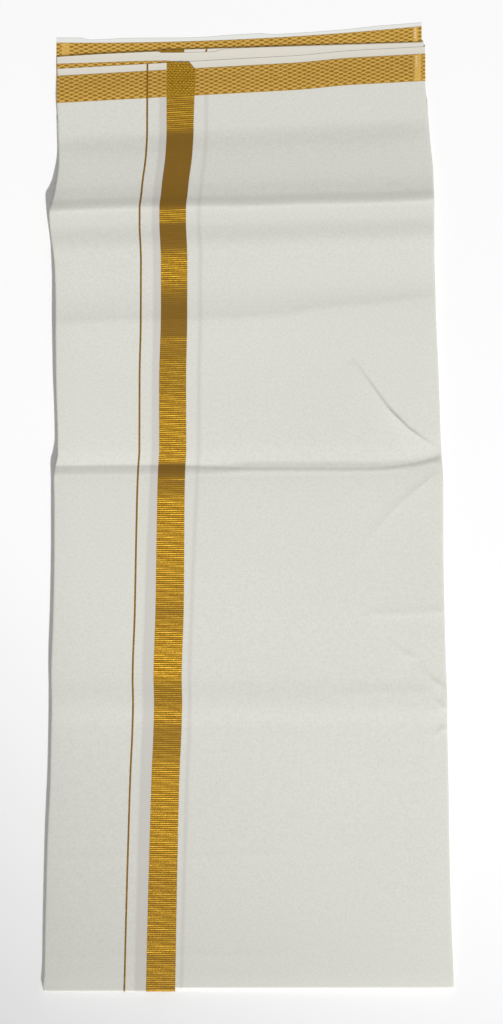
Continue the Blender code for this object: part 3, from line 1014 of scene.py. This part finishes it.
# ---- Hidden plies: one form whose sides show the edges of many folds ----
LIP_COUNT = 6
LIP_SHAPE = ((0.0, 1.1), (0.18, 0.35), (0.5, 0.0), (0.82, 0.35))     # share down a lip, mm inwards
FIRST_LIP_INSET = 2.6        # the lips' insets from the outline, in millimetres
LIP_INSETS = (1.0, 1.7)      # of every other lip after the first
HIDDEN_END = 418 * MM
SHOULDER = 4.2 * MM          # from the outline to the edge of the flat top
HIDDEN_BASE = BACK_PLY + 0.35 * MM


def around_grid(rows, columns):
    """Row and column of each point around a grid, and the way out from it across and along."""
    loop = [(0, column, 0, -1) for column in range(columns)]
    loop += [(row, columns - 1, 1, 0) for row in range(rows)]
    loop += [(rows - 1, column, 0, 1) for column in reversed(range(columns))]
    loop += [(row, 0, -1, 0) for row in reversed(range(rows))]
    loop = np.array(loop)
    way = loop[:, 2:].astype(float)
    before = np.roll(way, 1, axis=0)
    turns = np.hypot(*(way + before).T) < 1.9
    way = way + np.where(turns[:, None], before, 0.0)
    way /= np.maximum(np.hypot(*way.T), 1.0)[:, None]
    return loop[:, 0], loop[:, 1], way


def lip_level(edge, way, lip, down, inwards):
    """The points around the hidden plies at one height down a lip, which is uneven."""
    around = edge[:, 0] * 21 + edge[:, 1] * 17
    uneven = 0.45 * np.sin(around * (1.3 + 0.31 * lip) + 2.4 * lip) + 0.25 * np.sin(around * 3.7 + lip)
    inset = FIRST_LIP_INSET if lip == 0 else LIP_INSETS[lip % 2]
    reach = SHOULDER - (inset + inwards + 0.5 * (1 + uneven)) * MM
    level = edge.copy()
    level[:, :2] += way * reach[:, None]
    level[:, 2] += (HIDDEN_BASE - edge[:, 2]) * (lip + down) / LIP_COUNT
    return level


def hidden_top(along, x):
    return pile_top(along, x) - 0.1 * MM


def make_hidden():
    along = crease_rows(BOTTOM + SHOULDER, HIDDEN_END - SHOULDER)
    x = columns_between(left_edge(along) + SHOULDER, right_edge(along) - SHOULDER, 8 * MM)
    points = sheet_points(along, x, hidden_top)
    edge_rows, edge_columns, way = around_grid(*x.shape)
    edge = points[edge_rows, edge_columns]
    levels = []
    for lip in range(LIP_COUNT):
        for down, inwards in LIP_SHAPE:
            levels.append(lip_level(edge, way, lip, down, inwards))
    floor = levels[-1].copy()
    floor[:, 2] = HIDDEN_BASE
    levels.append(floor)
    index = np.arange(x.size).reshape(x.shape)
    faces = [grid_faces(index)]
    inner = index[edge_rows, edge_columns]
    for number in range(len(levels)):
        outer = x.size + number * len(edge) + np.arange(len(edge))
        faces.append(ring_faces(inner, outer))
        inner = outer
    vertices = np.concatenate([points.reshape(-1, 3)] + levels)
    all_faces = np.concatenate(faces).tolist() + [inner[::-1].tolist()]
    piece = mesh_object("hidden_cloth", vertices, all_faces, COTTON_WHITE)
    piece.data.validate()
    place(piece, "cotton_white", "hidden_layers")


# ---- Floor, light and camera ----
FLOOR_SIZE = 16.0
LAMP_PLACE = (3.0, -13.05, 6.8)      # low beyond the bottom fold, so that creases across show
LAMP_TARGET = (0.023, 2.353, 0.0)    # past the cut ends, which get as much light as the bottom fold
CAMERA_DISTANCE = 3.0
VIEW_HEIGHT = 1.024                  # what the picture covers from its lower to its upper edge


def make_stage():
    bpy.ops.mesh.primitive_plane_add(size=FLOOR_SIZE, location=(0, 0, 0))
    floor = bpy.context.object
    floor.name = "floor"
    material, _, shader = new_material("floor_paper", 0.9)
    shader.inputs["Base Color"].default_value = (0.97, 0.97, 0.97, 1.0)
    shader.inputs["Specular IOR Level"].default_value = 0.1
    floor.data.materials.append(material)


def aim(item, target):
    item.rotation_euler = (Vector(target) - item.location).to_track_quat("-Z", "Y").to_euler()
    bpy.context.scene.collection.objects.link(item)


def make_light():
    scene = bpy.context.scene
    scene.view_settings.view_transform = "Standard"
    world = bpy.data.worlds.new("studio")
    world.use_nodes = True
    background = world.node_tree.nodes["Background"]
    background.inputs["Color"].default_value = (1.0, 1.0, 1.0, 1.0)
    background.inputs["Strength"].default_value = 0.36
    scene.world = world
    sun = bpy.data.lights.new("key", "SUN")
    sun.energy = 1.29
    sun.angle = math.radians(1.9)
    key = bpy.data.objects.new("key", sun)
    key.location = LAMP_PLACE
    aim(key, (0.0, 0.0, 0.0))
    spot = bpy.data.lights.new("lamp", "SPOT")
    spot.energy = 9240.0
    spot.shadow_soft_size = 0.25
    spot.spot_size = math.radians(11.16)
    spot.spot_blend = 0.25
    lamp = bpy.data.objects.new("lamp", spot)
    lamp.location = LAMP_PLACE
    aim(lamp, LAMP_TARGET)


def make_camera():
    """Straight above the bundle, with a lens long enough for it to look flat."""
    scene = bpy.context.scene
    camera = bpy.data.cameras.new("camera")
    camera.sensor_fit = "VERTICAL"
    camera.sensor_height = 36.0
    camera.lens = camera.sensor_height * CAMERA_DISTANCE / VIEW_HEIGHT
    scene.camera = bpy.data.objects.new("camera", camera)
    scene.camera.location = (3.5 * MM, -6.0 * MM, CAMERA_DISTANCE + 8 * MM)
    scene.collection.objects.link(scene.camera)


make_light()
make_camera()
make_stage()
make_hidden()
make_back()
make_back_end()
make_second()
make_third()
make_front()
make_line()
make_flap()
make_border()
make_bands()
make_white_dots()
